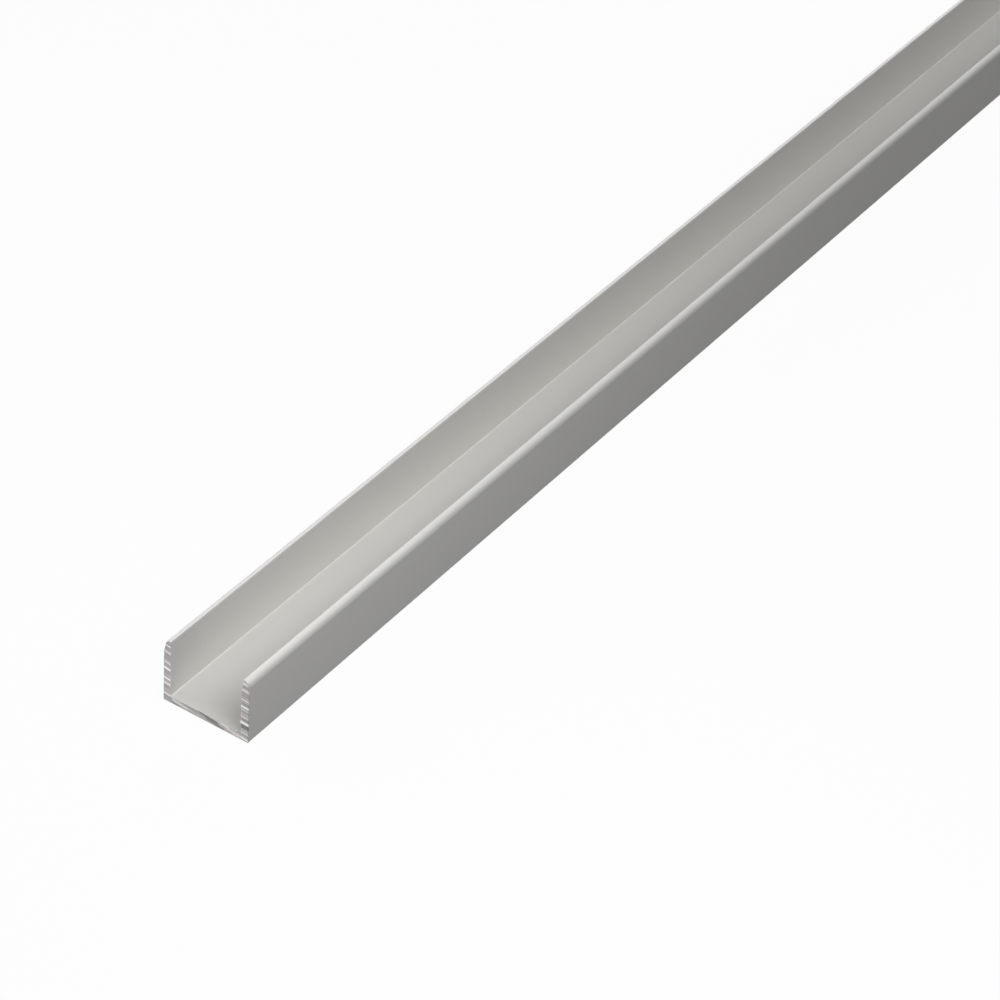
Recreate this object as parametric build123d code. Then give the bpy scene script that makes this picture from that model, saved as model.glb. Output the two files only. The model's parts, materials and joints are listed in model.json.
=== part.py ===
"""Aluminium U channel: one extruded length of stock, lying on its web with the channel open upwards.

The section is a web with a flange on each side. Each flange tip rolls over from its outer face in one large
round, the inner corners have a small fillet and the heels are nearly sharp. Both ends are sawn square.

Frame: X along the stock, Y across the section, Z up. The origin is on the underside of the web, at the middle
of the stock's length and width.
"""

import os

from build123d import *

# Driving dimensions, in millimetres
STOCK_LENGTH = 1000.0
OUTER_WIDTH = 20.0
OUTER_HEIGHT = 15.0
WEB_THICKNESS = 1.5
FLANGE_THICKNESS = 1.5
TIP_RISE = 1.6
TIP_INNER_RADIUS = 0.2
ROOT_RADIUS = 0.3
HEEL_RADIUS = 0.2

# Faces of one flange, measured from the middle of the section
FLANGE_OUTSIDE = OUTER_WIDTH / 2
FLANGE_INSIDE = FLANGE_OUTSIDE - FLANGE_THICKNESS

# The large round of a flange tip leaves the outer face one rise below the top and runs into the small round of
# the inner edge without a kink, so its radius follows from where the small round's centre lies
EDGE_CENTRE_RUN = FLANGE_THICKNESS - TIP_INNER_RADIUS
EDGE_CENTRE_RISE = TIP_RISE - TIP_INNER_RADIUS
TIP_OUTER_RADIUS = (EDGE_CENTRE_RUN**2 + EDGE_CENTRE_RISE**2 - TIP_INNER_RADIUS**2) / (
    2 * (EDGE_CENTRE_RUN - TIP_INNER_RADIUS)
)


def tip_crest():
    """Point where the two rounds of a flange tip meet, in line with both their centres."""
    small_centre = Vector(FLANGE_INSIDE + TIP_INNER_RADIUS, OUTER_HEIGHT - TIP_INNER_RADIUS)
    large_centre = Vector(FLANGE_OUTSIDE - TIP_OUTER_RADIUS, OUTER_HEIGHT - TIP_RISE)
    return small_centre + (small_centre - large_centre).normalized() * TIP_INNER_RADIUS


def half_outline():
    """Outline of one half of the section, from the middle of the underside round the flange to the floor.

    Each round is an arc that leaves the face before it without a kink and ends where the next face begins.
    """
    underside = Line((0, 0), (FLANGE_OUTSIDE - HEEL_RADIUS, 0))
    heel = TangentArc(underside @ 1, (FLANGE_OUTSIDE, HEEL_RADIUS), tangent=underside % 1)
    outer_face = Line(heel @ 1, (FLANGE_OUTSIDE, OUTER_HEIGHT - TIP_RISE))
    tip_outer = TangentArc(outer_face @ 1, tip_crest(), tangent=outer_face % 1)
    tip_inner = TangentArc(
        tip_outer @ 1, (FLANGE_INSIDE, OUTER_HEIGHT - TIP_INNER_RADIUS), tangent=tip_outer % 1
    )
    inner_face = Line(tip_inner @ 1, (FLANGE_INSIDE, WEB_THICKNESS + ROOT_RADIUS))
    root = TangentArc(
        inner_face @ 1, (FLANGE_INSIDE - ROOT_RADIUS, WEB_THICKNESS), tangent=inner_face % 1
    )
    floor = Line(root @ 1, (0, WEB_THICKNESS))
    return Curve() + [underside, heel, outer_face, tip_outer, tip_inner, inner_face, root, floor]


def section():
    """The whole U section as one face: the half outline and its mirror image, with Y to the right and Z up."""
    half = half_outline()
    outline = half + mirror(half, about=Plane.YZ)
    return Plane.YZ * make_face(outline.edges())


def u_channel():
    """The stock: the section carried along X, half the length to each side of the origin."""
    return extrude(section(), amount=STOCK_LENGTH / 2, dir=(1, 0, 0), both=True)


def main():
    os.makedirs("parts", exist_ok=True)
    export_step(u_channel(), "parts/u_channel.step")


main()
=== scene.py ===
"""Satin anodised aluminium U channel: one sawn length of stock on a white studio floor.

The file is laid out as an add-on and is run as a script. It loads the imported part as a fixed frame, puts
one mesh with sawn ends and a procedural finish in its place, and sets a plain studio with the camera
around it.
"""

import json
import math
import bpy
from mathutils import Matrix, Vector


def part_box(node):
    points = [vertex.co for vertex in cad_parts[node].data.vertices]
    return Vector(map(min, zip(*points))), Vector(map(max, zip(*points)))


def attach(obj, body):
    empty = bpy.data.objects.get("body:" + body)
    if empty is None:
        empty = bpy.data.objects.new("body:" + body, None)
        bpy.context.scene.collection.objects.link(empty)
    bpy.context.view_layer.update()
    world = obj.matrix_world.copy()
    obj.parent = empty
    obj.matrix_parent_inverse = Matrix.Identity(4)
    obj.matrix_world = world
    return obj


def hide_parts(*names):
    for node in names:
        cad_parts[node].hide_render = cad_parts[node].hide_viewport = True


bl_info = {
    "name": "Anodised U Channel",
    "version": (1, 0, 0),
    "blender": (4, 5, 0),
    "location": "View3D > Sidebar > U Channel",
    "description": "Builds a sawn length of satin anodised aluminium U channel in a white studio",
    "category": "Add Mesh",
}

import bpy
import numpy as np
from bpy.props import FloatProperty, FloatVectorProperty, IntProperty, PointerProperty
from mathutils import Quaternion, Vector

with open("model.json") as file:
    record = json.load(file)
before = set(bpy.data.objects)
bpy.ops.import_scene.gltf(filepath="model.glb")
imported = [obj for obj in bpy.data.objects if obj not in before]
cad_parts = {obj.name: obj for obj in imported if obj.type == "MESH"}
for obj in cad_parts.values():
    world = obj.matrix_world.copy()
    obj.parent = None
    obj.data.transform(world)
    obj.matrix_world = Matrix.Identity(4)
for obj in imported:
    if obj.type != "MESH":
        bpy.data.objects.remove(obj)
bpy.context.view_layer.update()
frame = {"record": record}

# Names in the frame, and the file that takes the two boxes
NODE = "u_channel"
BODY = "root"
PIECE = "channel_stock"

MM = 0.001

# Signs of the two ends along X
NEAR = -1
FAR = 1

# Sizes that the frame gives: the stock's box, and the height of the channel floor above the underside
STOCK_LOW, STOCK_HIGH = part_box(NODE)
MOUNTS = {mount["name"]: mount for mount in frame["record"]["mounts"]}
FLOOR_HEIGHT = MOUNTS["channel_floor"]["pos_m"][2]

# Cells of the mesh across the wall, round a flange tip, down a flange, along each outer face of a corner,
# round a heel and along half the web
WALL_CELLS = 20
TIP_CELLS = 28
FLANGE_CELLS = 150
CORNER_FACE_CELLS = 12
HEEL_CELLS = 6
HALF_WEB_CELLS = 60

# Stations along the stock, as distances from the nearer end
END_STATIONS = (
    0.15 * MM, 0.35 * MM, 0.7 * MM, 3 * MM, 8 * MM, 20 * MM, 50 * MM, 110 * MM, 200 * MM, 310 * MM,
)

# Saw marks of a flange: height as a share of the flange's height, and weight from -1, a groove painted dark
# as shade, to 1, a land painted bright as a glint.
FAR_FLANGE_MARK_GLINT_SHADE_SHARES = (
    (0.955, -0.3), (0.915, 0.75), (0.865, -0.35), (0.805, 0.6), (0.755, -0.45), (0.715, -0.45),
    (0.635, 0.6), (0.6, -0.2), (0.54, 1.6), (0.475, -0.35), (0.375, 1.3), (0.29, 0.8), (0.24, -0.55),
    (0.12, 0.75), (0.08, -0.3),
)
NEAR_FLANGE_MARK_GLINT_SHADE_SHARES = (
    (0.935, 0.85), (0.88, -0.3), (0.83, 0.7), (0.775, -0.35), (0.735, -0.35), (0.67, 0.35),
    (0.605, -0.75), (0.556, 0.95), (0.505, 0.1), (0.47, -0.45), (0.396, 0.4), (0.345, -0.7),
    (0.296, 1.25), (0.245, -1.1), (0.215, -1.0), (0.16, -0.2), (0.13, 0.4), (0.095, -0.55),
    (0.035, 0.75),
)
# Streaks along the web: height as a share of the web, start and stop as shares of the width from the far
# side, and weight, which paints shade or a glint as on the flanges
WEB_STREAK_GLINT_SHADE_SHARES = (
    (0.5, 0.07, 0.31, 0.5), (0.15, 0.05, 0.2, -0.3), (0.8, 0.2, 0.42, -0.3), (0.72, 0.39, 0.67, -0.9),
    (0.3, 0.47, 0.74, -0.65), (0.85, 0.64, 0.8, 0.4), (0.5, 0.72, 0.93, 0.3), (0.2, 0.79, 0.98, 0.3),
    (0.9, 0.84, 0.98, -0.4),
)
# Half width of the bell across a mark, and across a streak
MARK_SPREAD = 0.18 * MM
STREAK_SPREAD = 0.22 * MM
# Width over which a flange's marks pass into the web's, and share of the width over which a streak fades in
CORNER_FADE = 0.6 * MM
STREAK_FADE_SHARE = 0.05
# Weight of the painted shade along the outer edge and of the painted glint along the channel's edge, and the
# half width of both
OUTER_EDGE_SHADE_WEIGHT = -0.35
INNER_EDGE_GLINT_WEIGHT = 0.15
EDGE_SPREAD = 0.14 * MM
# Pitch and weight of the fine scratches
SCRATCH_PITCH = 0.16 * MM
SCRATCH_WEIGHT = 0.2
# Random values that a noise repeats
DRAWS = 509

# How far the burr runs along the stock, and the pitch and share of its unevenness
BURR_REACH = 0.6 * MM
BURR_PITCH = 0.5 * MM
BURR_UNEVEN_SHARE = 0.3
# The blade drags the burr over the edges that face the far side, and it grows towards the near side, where
# the blade leaves
BURR_DRAG_SHARE = 0.8
BURR_GROWTH_SHARE = 0.45
# Depths under the crests at which the burr starts and is whole
BURR_TOP = 1.8 * MM
BURR_WHOLE = 3.2 * MM
# Depth of a tip's worn corner under the crest, and its half width
WORN_DROP = 1.2 * MM
WORN_SPREAD = 1.0 * MM

# Height over which a flange tip takes a painted highlight
HIGHLIGHT_RISE = 1.1 * MM
# Half width of the painted highlight line along a root fillet, and its angle round the fillet from the
# flange's face
HIGHLIGHT_SPREAD = 0.14 * MM
HIGHLIGHT_TURN = math.radians(34)

# Map for the finish. The ends stand side by side at its foot, on this share of its height, and the skin
# takes the rest
FINISH_MAP = "OFBake"
ENDS_SHARE = 0.35
# Middle of each end's room across the map, and the room's width and margin
END_MIDDLE_SHARES = {NEAR: 0.25, FAR: 0.75}
END_ROOM_SHARE = 0.5
END_MARGIN_SHARE = 0.04

# Scales of the textures along X, Y and Z, for lengths in metres, and their levels of detail
DIE_LINE_SCALE = (4, 3000, 3000)
DIE_LINE_DETAIL = 3
GRAIN_SCALE = (2600, 2600, 2600)
GRAIN_DETAIL = 2
SCRATCH_SCALE = (600, 300, 9000)
SCRATCH_DETAIL = 2
# Spread of the die lines' tone and of the grain's roughness, and the depth of the bumps
DIE_LINE_TONE = 0.02
GRAIN_GLOSS = 0.05
DIE_LINE_DEPTH = 0.02 * MM
SCRATCH_DEPTH = 0.02 * MM
# Stored weight of plain sawn metal, between the painted groove shade's 0 and the painted glint's 1
PLAIN_MARK = 0.5

# Softboxes stand round the stock at three angles from overhead, negative towards the near side. At each
# angle a square one hangs over the near end and a strip over the rest. Each row has the angle in degrees and
# the power of the two in watts
SOFTBOX_ANGLES = {"near_side": (-36, 0.445, 0.56), "overhead": (0, 0.24, 0.4), "far_side": (65, 0.297, 1.1)}
END_BOX_DISTANCE = 0.3
END_BOX_OVERHANG = 0.03
STRIP_DISTANCE = 0.35
STRIP_START = 0.3
STRIP_OVERHANG = 0.15
SOFTBOX_WIDTH = 0.2
FLOOR_REACH = 40.0
FLOOR_DROP = 0.01 * MM
SENSOR_WIDTH = 36.0
CLIP_START = 10 * MM


class StockSizes(bpy.types.PropertyGroup):
    """Sizes of the stock and its section."""

    length: FloatProperty(
        name="Length", description="Sawn length of the stock",
        default=STOCK_HIGH.x - STOCK_LOW.x, unit="LENGTH",
    )
    width: FloatProperty(
        name="Width", description="Width over both flanges",
        default=STOCK_HIGH.y - STOCK_LOW.y, unit="LENGTH",
    )
    height: FloatProperty(
        name="Height", description="Height from underside to flange tips",
        default=STOCK_HIGH.z, unit="LENGTH",
    )
    web: FloatProperty(
        name="Web", description="Thickness of the web",
        default=FLOOR_HEIGHT, unit="LENGTH",
    )
    flange: FloatProperty(
        name="Flange", description="Thickness of a flange",
        default=1.5 * MM, unit="LENGTH",
    )
    tip_rise: FloatProperty(
        name="Tip rise", description="Height over which a flange tip rolls over",
        default=1.6 * MM, unit="LENGTH",
    )
    tip_inner: FloatProperty(
        name="Tip edge", description="Radius of a flange tip's inner edge",
        default=0.2 * MM, unit="LENGTH",
    )
    root: FloatProperty(
        name="Root", description="Fillet between a flange and the channel floor",
        default=0.3 * MM, unit="LENGTH",
    )
    heel: FloatProperty(
        name="Heel", description="Radius of the heels",
        default=0.2 * MM, unit="LENGTH",
    )


class SawCut(bpy.types.PropertyGroup):
    """What the saw leaves on both ends."""

    mark_depth: FloatProperty(
        name="Mark depth", description="Depth from a burnished land to a dark groove",
        default=0.12 * MM, unit="LENGTH",
    )
    mark_slope: FloatProperty(
        name="Mark slope", description="Rise of the marks for each length across",
        default=0.12,
    )
    blade_radius: FloatProperty(
        name="Blade radius", description="Radius that bows the marks",
        default=180 * MM, unit="LENGTH",
    )
    burr: FloatProperty(
        name="Burr", description="How far the burr stands out round a sawn end",
        default=0.12 * MM, unit="LENGTH",
    )
    worn: FloatProperty(
        name="Worn corner", description="How far a tip's outer corner is worn at an end",
        default=0.22 * MM, unit="LENGTH",
    )
    seed: IntProperty(
        name="Seed", description="Number that sets the fine scratches and the burr's unevenness",
        default=5,
    )


class Finish(bpy.types.PropertyGroup):
    """Colours and gloss of the anodised skin and of the bare sawn ends, with a painted highlight on the
    skin's tips and root fillets and painted glints and shade on the ends.
    """

    skin_colour: FloatVectorProperty(
        name="Skin", description="Colour of the anodised skin",
        default=(0.755, 0.75, 0.725), subtype="COLOR",
    )
    skin_metallic: FloatProperty(
        name="Skin metal", description="Share of the skin that reflects as bare metal",
        default=0.03, subtype="FACTOR",
    )
    skin_specular: FloatProperty(
        name="Skin gloss", description="Specular level of the satin skin",
        default=0.15, subtype="FACTOR",
    )
    # Painted highlight: a paler colour with more metal along the flange tips and root fillets
    painted_highlight_colour: FloatVectorProperty(
        name="Painted highlight", description="Colour painted on the tips and root fillets as a highlight",
        default=(0.84, 0.835, 0.81), subtype="COLOR",
    )
    highlight_line_metallic: FloatProperty(
        name="Highlight metal", description="Share of a painted highlight line that reflects as bare metal",
        default=0.18, subtype="FACTOR",
    )
    skin_roughness: FloatProperty(
        name="Skin roughness", description="Roughness of the satin skin",
        default=0.55, subtype="FACTOR",
    )
    sawn_colour: FloatVectorProperty(
        name="Sawn metal", description="Colour of the bare sawn metal",
        default=(0.43, 0.41, 0.408), subtype="COLOR",
    )
    # Painted glints on the sawn ends' lands and painted shade in their grooves
    painted_glint_colour: FloatVectorProperty(
        name="Painted glint", description="Colour painted on the lands as glints",
        default=(0.93, 0.905, 0.9), subtype="COLOR",
    )
    groove_shade_colour: FloatVectorProperty(
        name="Groove shade", description="Colour painted in the grooves as shade",
        default=(0.12, 0.115, 0.11), subtype="COLOR",
    )
    sawn_roughness: FloatProperty(
        name="Sawn roughness", description="Roughness of the sawn metal",
        default=0.42, subtype="FACTOR",
    )
    glint_roughness: FloatProperty(
        name="Glint roughness", description="Roughness of the glinting lands",
        default=0.25, subtype="FACTOR",
    )


class Studio(bpy.types.PropertyGroup):
    """Floor, lamps and camera."""

    floor_colour: FloatVectorProperty(
        name="Floor", description="Colour of the studio floor as it is seen",
        default=(0.95, 0.95, 0.95), subtype="COLOR",
    )
    floor_bounce: FloatVectorProperty(
        name="Floor bounce", description="Colour of the light that the floor throws back",
        default=(0.11, 0.11, 0.11), subtype="COLOR",
    )
    floor_white: FloatProperty(
        name="Floor white", description="Share of the floor's view that is plain white",
        default=0.95, subtype="FACTOR",
    )
    light_level: FloatProperty(
        name="Light", description="Factor on the power of all softboxes",
        default=1.0,
    )
    ambient: FloatProperty(
        name="Ambient", description="Strength of the even ambient light",
        default=0.01,
    )
    focal_length: FloatProperty(
        name="Lens", description="Focal length of the camera",
        default=124.317, subtype="DISTANCE_CAMERA",
    )
    camera_offset: FloatVectorProperty(
        name="Camera", description="Camera's place from the middle of the near sawn end's foot",
        default=(-0.38718, -0.29628, 0.43540), subtype="XYZ", unit="LENGTH",
    )
    azimuth: FloatProperty(
        name="Azimuth", description="Turn of the camera round the stock",
        default=math.radians(-58.669), subtype="ANGLE",
    )
    elevation: FloatProperty(
        name="Elevation", description="Camera's angle above the floor",
        default=math.radians(37.869), subtype="ANGLE",
    )
    roll: FloatProperty(
        name="Roll", description="Tilt of the camera about its own line of sight",
        default=math.radians(4.782), subtype="ANGLE",
    )


def half_outline(sizes):
    """Outer and inner outline of the far half of the section, from the flange's crest to the web's middle.

    Rows of the flange lie at one height each. Round the tip the height is H - rise (1 - cos a), with a in
    even steps over a quarter turn. A tip is a large round, tangent to the outer face, and a small one on
    the inner edge, and the two touch in line with their centres: R = (run^2 + up^2 - r^2) / 2 (run - r),
    with run and up the small centre's distance from the outer face and from the large round's foot. At
    each height the faces follow from their circles: the distance past a centre is the root of the radius
    squared less the height above it squared. In the corner the outer outline goes down, round the heel and
    in along the underside, while the inner one turns through the root fillet. Along the web both run
    straight to the middle.
    """
    side = sizes.width / 2
    small = sizes.tip_inner
    small_run = sizes.flange - small
    small_up = sizes.tip_rise - small
    large = (small_run**2 + small_up**2 - small**2) / (2 * (small_run - small))
    touch_up = small_up * large / (large - small)
    foot = sizes.height - sizes.tip_rise
    turn = np.linspace(0, np.pi / 2, TIP_CELLS + 1)
    tip = sizes.height - sizes.tip_rise * (1 - np.cos(turn))
    flange = np.linspace(foot, sizes.web + sizes.root, FLANGE_CELLS + 1)
    rows = np.concatenate([tip, flange[1:]])

    over_large = np.clip(rows - foot, 0, large)
    over_small = np.clip(rows - (sizes.height - small), 0, small)
    small_reach = np.sqrt(small**2 - over_small**2)
    large_y = side - large + np.sqrt(large**2 - over_large**2)
    outer_y = np.where(over_large < touch_up, large_y, side - small_run + small_reach)
    inner_y = side - small_run - small_reach

    web_edge = side - sizes.flange - sizes.root
    down = np.linspace(sizes.web + sizes.root, sizes.heel, CORNER_FACE_CELLS + 1)
    inward = np.linspace(side - sizes.heel, web_edge, CORNER_FACE_CELLS + 1)
    bend = np.linspace(0, np.pi / 2, HEEL_CELLS + 1)
    corner_outer_y = np.concatenate(
        [np.full(CORNER_FACE_CELLS, side), side - sizes.heel * (1 - np.cos(bend[1:])), inward[1:]]
    )
    corner_outer_z = np.concatenate(
        [down[1:], sizes.heel * (1 - np.sin(bend[1:])), np.zeros(CORNER_FACE_CELLS)]
    )
    sweep = np.linspace(0, np.pi / 2, len(corner_outer_y) + 1)[1:]
    corner_inner_y = web_edge + sizes.root * np.cos(sweep)
    corner_inner_z = sizes.web + sizes.root * (1 - np.sin(sweep))

    web_y = np.linspace(web_edge, 0, HALF_WEB_CELLS + 1)[1:]
    outer = np.column_stack(
        [
            np.concatenate([outer_y, corner_outer_y, web_y]),
            np.concatenate([rows, corner_outer_z, np.zeros_like(web_y)]),
        ]
    )
    inner = np.column_stack(
        [
            np.concatenate([inner_y, corner_inner_y, web_y]),
            np.concatenate([rows, corner_inner_z, np.full_like(web_y, sizes.web)]),
        ]
    )
    return outer, inner


def section_grid(sizes):
    """Points of the whole section on a grid, from the far crest to the near one and across the wall.

    The near half mirrors the far one. P = outer + v (inner - outer), where v runs from 0 to 1.
    """
    mirror = np.array([-1.0, 1.0])
    outer, inner = (np.concatenate([half, half[-2::-1] * mirror]) for half in half_outline(sizes))
    across = np.linspace(0, 1, WALL_CELLS + 1)
    return outer[:, None] + across[:, None] * (inner - outer)[:, None]


def ease(t):
    """Smooth step: three t squared less two t cubed, held to 0 before 0 and to 1 after 1."""
    t = np.clip(t, 0, 1)
    return t * t * (3 - 2 * t)


def bell(distance, spread):
    """Bell curve: e to the minus square of distance over spread."""
    return np.exp(-((distance / spread) ** 2))


def value_noise(places, pitch, draws):
    """Noise from -1 to 1 along one direction: random values at knots one pitch apart, eased in between."""
    steps = places / pitch
    knot = np.floor(steps).astype(int)
    left = draws[knot % len(draws)]
    right = draws[(knot + 1) % len(draws)]
    return left + (right - left) * ease(steps - knot)


def blade_rise(y, cut):
    """How far a saw mark has risen at y: slope times y, plus y squared over twice the blade's radius."""
    return cut.mark_slope * y + y**2 / (2 * cut.blade_radius)


def flange_marks(y, z, middle, marks, sizes, cut):
    """Weight of a flange's marks: each a bell by height along the blade's rise from the flange's middle."""
    shares, weights = np.array(marks).T
    level = z - blade_rise(y, cut) + blade_rise(middle, cut)
    return bell(level[..., None] - shares * sizes.height, MARK_SPREAD) @ weights


def web_streaks(y, z, sizes, cut):
    """Weight of the web's streaks: each a bell by height along the blade's rise, eased in and out by Y."""
    shares, starts, stops, weights = np.array(WEB_STREAK_GLINT_SHADE_SHARES).T
    middles = sizes.width * (0.5 - (starts + stops) / 2)
    level = (z - blade_rise(y, cut))[..., None] + blade_rise(middles, cut)
    place = 0.5 - y[..., None] / sizes.width
    window = ease((place - starts) / STREAK_FADE_SHARE) * ease((stops - place) / STREAK_FADE_SHARE)
    return (bell(level - shares * sizes.web, STREAK_SPREAD) * window) @ weights


def mark_glint_and_shade_weight(grid, sizes, cut, draws):
    """Weight of the saw's marks at each point of an end, from -1, a groove painted dark as shade, to 1, a
    land painted bright as a glint.

    Each flange has its own marks and the web its streaks, and they pass into each other at the corners. The
    outer edge gets painted shade and the channel's edge a painted glint, each by a bell of the distance from
    it. Fine scratches are value noise by height.
    """
    y, z = grid[..., 0], grid[..., 1]
    inside = sizes.width / 2 - sizes.flange
    middle = inside + sizes.flange / 2
    on_far = ease((y - inside) / CORNER_FADE + 1)
    on_near = ease((-y - inside) / CORNER_FADE + 1)
    marks = on_far * flange_marks(y, z, middle, FAR_FLANGE_MARK_GLINT_SHADE_SHARES, sizes, cut)
    marks += on_near * flange_marks(y, z, -middle, NEAR_FLANGE_MARK_GLINT_SHADE_SHARES, sizes, cut)
    marks += (1 - on_far - on_near) * web_streaks(y, z, sizes, cut)
    from_outer = np.linalg.norm(grid - grid[:, :1], axis=-1)
    from_inner = np.linalg.norm(grid - grid[:, -1:], axis=-1)
    # Painted shade along the outer edge, painted glint along the channel's edge
    marks += OUTER_EDGE_SHADE_WEIGHT * bell(from_outer, EDGE_SPREAD)
    marks += INNER_EDGE_GLINT_WEIGHT * bell(from_inner, EDGE_SPREAD)
    marks += SCRATCH_WEIGHT * value_noise(z - blade_rise(y, cut), SCRATCH_PITCH, draws)
    return np.clip(marks, -1, 1)


def rim_offset(ring, sizes, cut, draws):
    """How far each point of the outline moves along its normal at a sawn end, and never below the foot.

    The normal is the tangent turned a quarter, and the tangent joins a point's two neighbours. The burr
    stands out by its size times 1 + drag share times the normal's Y, times 1 - growth share times Y over
    half the width. Value noise along the outline makes it uneven, and it fades under the crests. A tip's
    outer corner is worn in by a bell of the height, times how far the normal faces outwards.
    """
    tangent = np.roll(ring, -1, axis=0) - np.roll(ring, 1, axis=0)
    normal = np.column_stack([-tangent[:, 1], tangent[:, 0]])
    normal /= np.linalg.norm(tangent, axis=1, keepdims=True)
    drop = sizes.height - ring[:, 1]
    uneven = 1 + BURR_UNEVEN_SHARE * value_noise(ring[:, 1] - ring[:, 0], BURR_PITCH, draws)
    burr = cut.burr * uneven * (1 + BURR_DRAG_SHARE * normal[:, 0])
    burr *= 1 - BURR_GROWTH_SHARE * ring[:, 0] / (sizes.width / 2)
    burr *= ease((drop - BURR_TOP) / (BURR_WHOLE - BURR_TOP))
    outwards = np.clip(normal[:, 0] * np.sign(ring[:, 0]), 0, 1)
    offset = (burr - cut.worn * outwards * bell(drop - WORN_DROP, WORN_SPREAD))[:, None] * normal
    offset[:, 1] = np.maximum(offset[:, 1], -ring[:, 1])
    return offset


def across_wall(offset, rows):
    """Carries the rim's offset across the wall: 1 - v of the outer side's and v of the inner side's."""
    row = np.arange(rows)
    outer = offset[row]
    inner = offset[(len(offset) - row) % len(offset)]
    across = np.linspace(0, 1, WALL_CELLS + 1)
    return outer[:, None] + across[:, None] * (inner - outer)[:, None]


def painted_highlight_weight(ring, sizes):
    """How much painted highlight each point of the outline takes, from 0 to 1.

    A tip's painted highlight eases in over its topmost part, and a root's is a bell of the distance from its
    highlight line, which lies one radius from the fillet's centre, turned down from the flange's face.
    """
    y, z = np.abs(ring[:, 0]), ring[:, 1]
    tip = ease((z - sizes.height) / HIGHLIGHT_RISE + 1)
    line_y = sizes.width / 2 - sizes.flange - sizes.root * (1 - math.cos(HIGHLIGHT_TURN))
    line_z = sizes.web + sizes.root * (1 - math.sin(HIGHLIGHT_TURN))
    return tip + bell(np.hypot(y - line_y, z - line_z), HIGHLIGHT_SPREAD)


def border(field):
    """Values of a grid round its rim: down the outer side, and back along the inner one."""
    return np.concatenate([field[:, 0], field[-2:0:-1, -1]])


def skin_quads(rings, size):
    """Corners of the skin's faces: each ring to the next, point by point round the closed ring.

    The ring runs clockwise as seen from +X, so a face that goes along X first and then round it points
    outwards.
    """
    here = np.arange(size)
    after = (here + 1) % size
    low = np.arange(rings - 1)[:, None] * size
    quads = np.stack([low + here, low + size + here, low + size + after, low + after], axis=-1)
    return quads.reshape(-1, 4)


def end_index(rim, fresh, rows):
    """Numbers of an end's points on its grid: the rim is the skin's end ring, the points inside are new."""
    size = 2 * rows - 2
    index = np.zeros((rows, WALL_CELLS + 1), int)
    index[:, 0] = rim + np.arange(rows)
    index[:, -1] = rim + (size - np.arange(rows)) % size
    inside = index[1:-1, 1:-1]
    inside[:] = fresh + np.arange(inside.size).reshape(inside.shape)
    return index


def end_faces(index, end):
    """Quads of an end, and the triangles that close it at the two crests, where a grid row is one point.

    The far end's corners keep the grid's order, which faces +X, and the near end's run the other way.
    """
    body = index[1:-1]
    quads = np.stack([body[:-1, :-1], body[:-1, 1:], body[1:, 1:], body[1:, :-1]], axis=-1).reshape(-1, 4)
    top = np.stack([np.full(WALL_CELLS, index[0, 0]), index[1, 1:], index[1, :-1]], axis=-1)
    bottom = np.stack([np.full(WALL_CELLS, index[-1, 0]), index[-2, :-1], index[-2, 1:]], axis=-1)
    triangles = np.concatenate([top, bottom])
    return [quads[:, ::end], triangles[:, ::end]]


def skin_places(along, ring):
    """Places of the skin's corners on the map: shares of the length to the right, of the outline upwards.

    The outline's shares are its steps added up, and the last one closes the ring.
    """
    steps = np.linalg.norm(np.roll(ring, -1, axis=0) - ring, axis=1)
    around = np.concatenate([[0], np.cumsum(steps)]) / steps.sum()
    height = ENDS_SHARE + (1 - ENDS_SHARE) * around
    right = np.stack([along[:-1], along[1:], along[1:], along[:-1]], axis=-1)[:, None]
    up = np.stack([height[:-1], height[:-1], height[1:], height[1:]], axis=-1)[None]
    return np.stack(np.broadcast_arrays(right, up), axis=-1).reshape(-1, 2)


def end_places(points, faces, sizes, end):
    """Places of an end's corners on the map: the section upright in the end's own room, inside a margin.

    To the right: the room's middle, plus y over the stock's width times the room. Upwards: z over the
    height times the ends' share of the map.
    """
    y, z = points[faces.ravel(), 1:].T
    inside = 1 - 2 * END_MARGIN_SHARE
    right = END_MIDDLE_SHARES[end] + END_ROOM_SHARE * inside * y / sizes.width
    up = ENDS_SHARE * (END_MARGIN_SHARE + inside * z / sizes.height)
    return np.column_stack([right, up])


def end_points(grid, sizes, cut, end):
    """Points of one end: its rim, the skin's rings next to it and the sawn face's inside, with the weights.

    The saw sets a point back by depth times (1 - weight) / 2. The rim's offset fades along the skin and is
    carried across the face. The far end's marks are the near one's turned round, so its weights run the
    other way, with scratches of its own.
    """
    ring = border(grid)
    draws = np.random.default_rng(cut.seed + end).uniform(-1, 1, (2, DRAWS))
    # The weight sets each point's depth, and is stored for the painted glints and groove shade
    weight = mark_glint_and_shade_weight(grid, sizes, cut, draws[0])[::-end]
    offset = rim_offset(ring, sizes, cut, draws[1])
    face = grid + across_wall(offset, len(grid))
    half = sizes.length / 2
    x = end * (half - cut.mark_depth * (1 - weight) / 2)
    reach = np.array(END_STATIONS)[::-end]
    flare = ease(1 - reach / BURR_REACH)[:, None, None]
    flared = (ring + flare * offset).reshape(-1, 2)
    rim = np.column_stack([border(x), ring + offset])
    skin = np.column_stack([np.repeat(end * (half - reach), len(ring)), flared])
    inside = np.column_stack([x[1:-1, 1:-1].ravel(), face[1:-1, 1:-1].reshape(-1, 2)])
    return rim, skin, inside, weight


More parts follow.
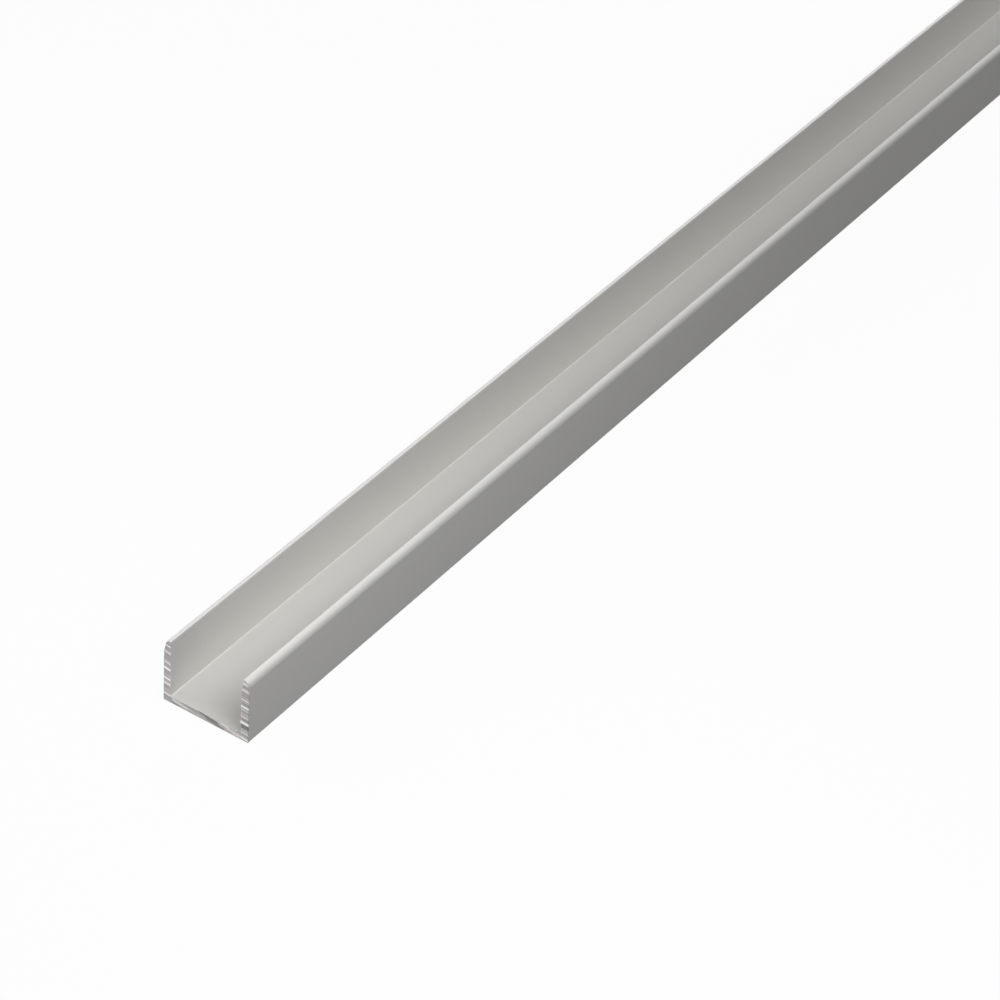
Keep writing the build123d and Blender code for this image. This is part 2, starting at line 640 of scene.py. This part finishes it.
def channel_mesh(sizes, cut):
    """The stock's points, faces, sawn flags, weights of the painted glints and groove shade and of the
    painted highlight, and map places: a skin and two sawn ends.

    The skin is the closed outline repeated at each station along X. An end is the section's grid, set back
    by the saw. Mark weights are stored as (1 + weight) / 2.
    """
    grid = section_grid(sizes)
    ring = border(grid)
    size = len(ring)
    near_rim, near_skin, near_inside, near_weight = end_points(grid, sizes, cut, NEAR)
    far_rim, far_skin, far_inside, far_weight = end_points(grid, sizes, cut, FAR)
    middle = np.column_stack([np.zeros(size), ring])
    rings = np.concatenate([near_rim, near_skin, middle, far_skin, far_rim])
    points = np.concatenate([rings, near_inside, far_inside])
    fresh = len(rings)
    ring_count = fresh // size

    plain = np.zeros(fresh - 2 * size)
    insides = [weight[1:-1, 1:-1].ravel() for weight in (near_weight, far_weight)]
    weights = np.concatenate([border(near_weight), plain, border(far_weight), *insides])
    # Weight of the painted highlight along the tips and root fillets, the same on every ring
    painted_highlight = np.concatenate([np.tile(painted_highlight_weight(ring, sizes), ring_count), np.zeros(len(points) - fresh)])

    skin = skin_quads(ring_count, size)
    near = end_faces(end_index(0, fresh, len(grid)), NEAR)
    far = end_faces(end_index(fresh - size, fresh + len(near_inside), len(grid)), FAR)
    faces = [face for block in (skin, *near, *far) for face in block.tolist()]
    sawn = np.repeat([0, 1], [len(skin), len(faces) - len(skin)])

    along = rings[::size, 0] / sizes.length + 0.5
    places = [skin_places(along, ring)]
    for end, blocks in ((NEAR, near), (FAR, far)):
        places += [end_places(points, block, sizes, end) for block in blocks]
    return points, faces, sawn, (1 + weights) / 2, painted_highlight, np.concatenate(places)


def mark_rims_sharp(mesh, sawn):
    """Marks as sharp every edge between the skin and a sawn face, so that each shades by itself."""
    loops = np.zeros(len(mesh.loops), np.int32)
    mesh.loops.foreach_get("edge_index", loops)
    sides = np.zeros(len(mesh.polygons), np.int32)
    mesh.polygons.foreach_get("loop_total", sides)
    kind = np.repeat(sawn, sides)
    lowest = np.ones(len(mesh.edges), int)
    highest = np.zeros(len(mesh.edges), int)
    np.minimum.at(lowest, loops, kind)
    np.maximum.at(highest, loops, kind)
    sharp = mesh.attributes.new("sharp_edge", "BOOLEAN", "EDGE")
    sharp.data.foreach_set("value", lowest != highest)


def new_material(name):
    """A node material with its tree and its shader, which is linked to the output."""
    material = bpy.data.materials.new(name)
    material.use_nodes = True
    tree = material.node_tree
    shader = tree.nodes["Principled BSDF"]
    return material, tree, shader


def add_node(tree, kind, links=None, **settings):
    """A node of that kind with its settings, and links from other nodes' sockets to its inputs."""
    node = tree.nodes.new(kind)
    for name, value in settings.items():
        setattr(node, name, value)
    for name, source in (links or {}).items():
        tree.links.new(source, node.inputs[name])
    return node


def set_inputs(node, **values):
    """Sets a node's input sockets by name, with underscores for spaces."""
    for name, value in values.items():
        node.inputs[name.replace("_", " ")].default_value = value


def stretched_noise(tree, scale, detail):
    """Noise on Object coordinates, stretched by a scale for each axis."""
    place = add_node(tree, "ShaderNodeTexCoord")
    stretch = add_node(tree, "ShaderNodeMapping", {"Vector": place.outputs["Object"]})
    set_inputs(stretch, Scale=scale)
    noise = add_node(tree, "ShaderNodeTexNoise", {"Vector": stretch.outputs["Vector"]})
    set_inputs(noise, Scale=1, Detail=detail)
    return noise.outputs["Fac"]


def add_bump(tree, shader, height, depth):
    """A bump of that depth in metres on the shader."""
    relief = add_node(tree, "ShaderNodeBump", {"Height": height})
    set_inputs(relief, Strength=1, Distance=depth)
    tree.links.new(relief.outputs["Normal"], shader.inputs["Normal"])


def satin_skin(finish):
    """Anodised skin: satin silver with faint die lines, a fine etched grain, and a painted highlight with
    more metal on the tips and root fillets.
    """
    material, tree, shader = new_material("satin_anodised_skin")
    lines = stretched_noise(tree, DIE_LINE_SCALE, DIE_LINE_DETAIL)
    grain = stretched_noise(tree, GRAIN_SCALE, GRAIN_DETAIL)
    tone = add_node(tree, "ShaderNodeValToRGB", {"Fac": lines})
    colour = np.array(finish.skin_colour)
    tone.color_ramp.elements[0].color = (*(colour * (1 - DIE_LINE_TONE)), 1)
    tone.color_ramp.elements[1].color = (*(colour * (1 + DIE_LINE_TONE)), 1)
    # Painted highlight: the tips and root fillets turn paler and more metallic
    painted_highlight = add_node(tree, "ShaderNodeAttribute", attribute_name="painted_highlight")
    colours = {"Fac": painted_highlight.outputs["Fac"], "Color1": tone.outputs["Color"]}
    shade = add_node(tree, "ShaderNodeMixRGB", colours)
    set_inputs(shade, Color2=(*finish.painted_highlight_colour, 1))
    tree.links.new(shade.outputs["Color"], shader.inputs["Base Color"])
    metal = add_node(tree, "ShaderNodeMapRange", {"Value": painted_highlight.outputs["Fac"]})
    set_inputs(metal, To_Min=finish.skin_metallic, To_Max=finish.highlight_line_metallic)
    tree.links.new(metal.outputs["Result"], shader.inputs["Metallic"])
    gloss = add_node(tree, "ShaderNodeMapRange", {"Value": grain})
    roughness = finish.skin_roughness
    set_inputs(gloss, To_Min=roughness - GRAIN_GLOSS, To_Max=roughness + GRAIN_GLOSS)
    tree.links.new(gloss.outputs["Result"], shader.inputs["Roughness"])
    add_bump(tree, shader, lines, DIE_LINE_DEPTH)
    set_inputs(shader, Specular_IOR_Level=finish.skin_specular)
    return material


def sawn_metal(finish):
    """Bare sawn aluminium: dull metal with painted glints on the lands, painted shade in the grooves, and
    fine scratches.
    """
    material, tree, shader = new_material("bare_sawn_metal")
    # Painted glints on the lands and painted shade in the grooves, by the stored weight
    glint_and_shade = add_node(tree, "ShaderNodeAttribute", attribute_name="glint_and_shade")
    tone = add_node(tree, "ShaderNodeValToRGB", {"Fac": glint_and_shade.outputs["Fac"]})
    ramp = tone.color_ramp.elements
    ramp.new(PLAIN_MARK)
    for stop, colour in zip(ramp, (finish.groove_shade_colour, finish.sawn_colour, finish.painted_glint_colour)):
        stop.color = (*colour, 1)
    tree.links.new(tone.outputs["Color"], shader.inputs["Base Color"])
    gloss = add_node(tree, "ShaderNodeMapRange", {"Value": glint_and_shade.outputs["Fac"]})
    set_inputs(gloss, From_Min=PLAIN_MARK, To_Min=finish.sawn_roughness, To_Max=finish.glint_roughness)
    tree.links.new(gloss.outputs["Result"], shader.inputs["Roughness"])
    add_bump(tree, shader, stretched_noise(tree, SCRATCH_SCALE, SCRATCH_DETAIL), SCRATCH_DEPTH)
    set_inputs(shader, Metallic=1.0)
    return material


class MESH_OT_add_channel_stock(bpy.types.Operator):
    """Adds the length of U channel with its sawn ends"""

    bl_idname = "mesh.add_channel_stock"
    bl_label = "Add Channel Stock"

    def execute(self, context):
        scene = context.scene
        points, faces, sawn, marks, painted_highlight, places = channel_mesh(scene.stock_sizes, scene.stock_saw_cut)
        mesh = bpy.data.meshes.new(PIECE)
        mesh.from_pydata(points, [], faces)
        for material in (satin_skin(scene.stock_finish), sawn_metal(scene.stock_finish)):
            mesh.materials.append(material)
        mesh.polygons.foreach_set("material_index", sawn.astype(np.int32))
        mesh.shade_smooth()
        mark_rims_sharp(mesh, sawn)
        finish_map = mesh.uv_layers.new(name=FINISH_MAP)
        finish_map.uv.foreach_set("vector", places.astype(np.float32).ravel())
        # Stores the weights of the painted glints and groove shade, and of the painted highlight
        for name, values in {"glint_and_shade": marks, "painted_highlight": painted_highlight}.items():
            attribute = mesh.attributes.new(name, "FLOAT", "POINT")
            attribute.data.foreach_set("value", values.astype(np.float32))
        if mesh.validate():
            raise RuntimeError("the channel's mesh has faulty faces")
        stock = bpy.data.objects.new(PIECE, mesh)
        scene.collection.objects.link(stock)
        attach(stock, BODY)
        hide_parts(NODE)
        return {"FINISHED"}


def seen_rays(tree):
    """One for camera, glossy and transmitted rays, which show a surface, and nought for the rest."""
    path = add_node(tree, "ShaderNodeLightPath")
    shown = {0: path.outputs["Is Camera Ray"], 1: path.outputs["Is Glossy Ray"]}
    mirrored = add_node(tree, "ShaderNodeMath", shown, operation="MAXIMUM")
    through = {0: mirrored.outputs[0], 1: path.outputs["Is Transmission Ray"]}
    return add_node(tree, "ShaderNodeMath", through, operation="MAXIMUM").outputs[0]


def white_floor(studio):
    """Pale matt floor, mostly plain white where it is seen, which throws back only part of the light."""
    material, tree, shader = new_material("white_floor")
    set_inputs(shader, Roughness=1.0, Specular_IOR_Level=0.0)
    seen = seen_rays(tree)
    tone = add_node(tree, "ShaderNodeValToRGB", {"Fac": seen})
    tone.color_ramp.elements[0].color = (*studio.floor_bounce, 1)
    tone.color_ramp.elements[1].color = (*studio.floor_colour, 1)
    tree.links.new(tone.outputs["Color"], shader.inputs["Base Color"])
    share = add_node(tree, "ShaderNodeMapRange", {"Value": seen})
    set_inputs(share, To_Max=studio.floor_white)
    white = add_node(tree, "ShaderNodeEmission")
    parts = {"Fac": share.outputs["Result"], 1: shader.outputs["BSDF"], 2: white.outputs["Emission"]}
    mix = add_node(tree, "ShaderNodeMixShader", parts)
    tree.links.new(mix.outputs["Shader"], tree.nodes["Material Output"].inputs["Surface"])
    return material


def add_floor(scene, studio):
    """A wide pale floor just under the stock."""
    mesh = bpy.data.meshes.new("studio_floor")
    sides = ((-1, -1), (1, -1), (1, 1), (-1, 1))
    corners = [(x * FLOOR_REACH, y * FLOOR_REACH, -FLOOR_DROP) for x, y in sides]
    mesh.from_pydata(corners, [], [range(len(corners))])
    mesh.materials.append(white_floor(studio))
    floor = bpy.data.objects.new("studio_floor", mesh)
    scene.collection.objects.link(floor)


def add_world(scene, studio):
    """A world that is seen as plain white and gives a little even light."""
    world = bpy.data.worlds.new("white_surround")
    world.use_nodes = True
    tree = world.node_tree
    strength = add_node(tree, "ShaderNodeMapRange", {"Value": seen_rays(tree)})
    set_inputs(strength, To_Min=studio.ambient)
    background = tree.nodes["Background"]
    set_inputs(background, Color=(1, 1, 1, 1))
    tree.links.new(strength.outputs["Result"], background.inputs["Strength"])
    scene.world = world


def add_softbox(scene, name, target, angle, distance, length, power):
    """A rectangular area lamp that faces a point of the stock, with its length along X.

    It stands at the target plus the distance times (0, sin angle, cos angle), turned back by the angle.
    """
    place = Vector((0, math.sin(angle), math.cos(angle))) * distance
    lamp = bpy.data.lights.new(name, "AREA")
    lamp.shape = "RECTANGLE"
    lamp.size = length
    lamp.size_y = SOFTBOX_WIDTH
    lamp.energy = power
    box = bpy.data.objects.new(name, lamp)
    box.location = target + place
    box.rotation_euler = (-angle, 0, 0)
    scene.collection.objects.link(box)


def add_softboxes(scene, studio, length):
    """At each angle a square softbox over the near end, and a strip from there to past the far end."""
    over_end = Vector((-length / 2 - END_BOX_OVERHANG, 0, 0))
    over_rest = Vector(((STRIP_START + STRIP_OVERHANG) / 2, 0, 0))
    strip = length + STRIP_OVERHANG - STRIP_START
    for name, (degrees, box_watts, strip_watts) in SOFTBOX_ANGLES.items():
        angle = math.radians(degrees)
        box_power = box_watts * studio.light_level
        strip_power = strip_watts * studio.light_level
        add_softbox(scene, name + "_softbox", over_end, angle, END_BOX_DISTANCE, SOFTBOX_WIDTH, box_power)
        add_softbox(scene, name + "_strip", over_rest, angle, STRIP_DISTANCE, strip, strip_power)


def add_camera(scene, studio, near_end):
    """The camera at the photograph's viewing angle, placed from the near sawn end.

    Its back points along (sin turn cos rise, -cos turn cos rise, sin rise), and it rolls about that line.
    """
    turn, rise = studio.azimuth, studio.elevation
    back = Vector((math.sin(turn) * math.cos(rise), -math.cos(turn) * math.cos(rise), math.sin(rise)))
    data = bpy.data.cameras.new("camera")
    data.sensor_width = SENSOR_WIDTH
    data.lens = studio.focal_length
    data.clip_start = CLIP_START
    camera = bpy.data.objects.new("camera", data)
    camera.location = near_end + Vector(studio.camera_offset)
    aim = (-back).to_track_quat("-Z", "Y") @ Quaternion((0, 0, 1), studio.roll)
    camera.rotation_euler = aim.to_euler()
    scene.collection.objects.link(camera)
    scene.camera = camera


class SCENE_OT_set_channel_studio(bpy.types.Operator):
    """Sets the floor, the lamps and the camera round the stock"""

    bl_idname = "scene.set_channel_studio"
    bl_label = "Set Channel Studio"

    def execute(self, context):
        scene = context.scene
        studio = scene.stock_studio
        length = scene.stock_sizes.length
        add_floor(scene, studio)
        add_world(scene, studio)
        add_softboxes(scene, studio, length)
        add_camera(scene, studio, Vector((-length / 2, 0, 0)))
        scene.view_settings.view_transform = "Standard"
        return {"FINISHED"}


class VIEW3D_PT_channel_stock(bpy.types.Panel):
    """Lists the sizes, the finish and the studio with the buttons that build them"""

    bl_label = "U Channel"
    bl_idname = "VIEW3D_PT_channel_stock"
    bl_space_type = "VIEW_3D"
    bl_region_type = "UI"
    bl_category = "U Channel"

    def draw(self, context):
        scene = context.scene
        for group in (scene.stock_sizes, scene.stock_saw_cut, scene.stock_finish):
            for name in group.__annotations__:
                self.layout.prop(group, name)
        self.layout.operator(MESH_OT_add_channel_stock.bl_idname)
        for name in scene.stock_studio.__annotations__:
            self.layout.prop(scene.stock_studio, name)
        self.layout.operator(SCENE_OT_set_channel_studio.bl_idname)


GROUPS = {
    "stock_sizes": StockSizes,
    "stock_saw_cut": SawCut,
    "stock_finish": Finish,
    "stock_studio": Studio,
}
CLASSES = (
    *GROUPS.values(),
    MESH_OT_add_channel_stock,
    SCENE_OT_set_channel_studio,
    VIEW3D_PT_channel_stock,
)


def register():
    """Registers the classes, and hangs each group of properties on the scene."""
    for cls in CLASSES:
        bpy.utils.register_class(cls)
    for name, group in GROUPS.items():
        setattr(bpy.types.Scene, name, PointerProperty(type=group))


def unregister():
    """Takes the groups off the scene, and the classes out in reverse order."""
    for name in GROUPS:
        delattr(bpy.types.Scene, name)
    for cls in reversed(CLASSES):
        bpy.utils.unregister_class(cls)


def main():
    """Builds the stock and the studio."""
    register()
    bpy.ops.mesh.add_channel_stock()
    bpy.ops.scene.set_channel_studio()


if __name__ == "__main__":
    main()
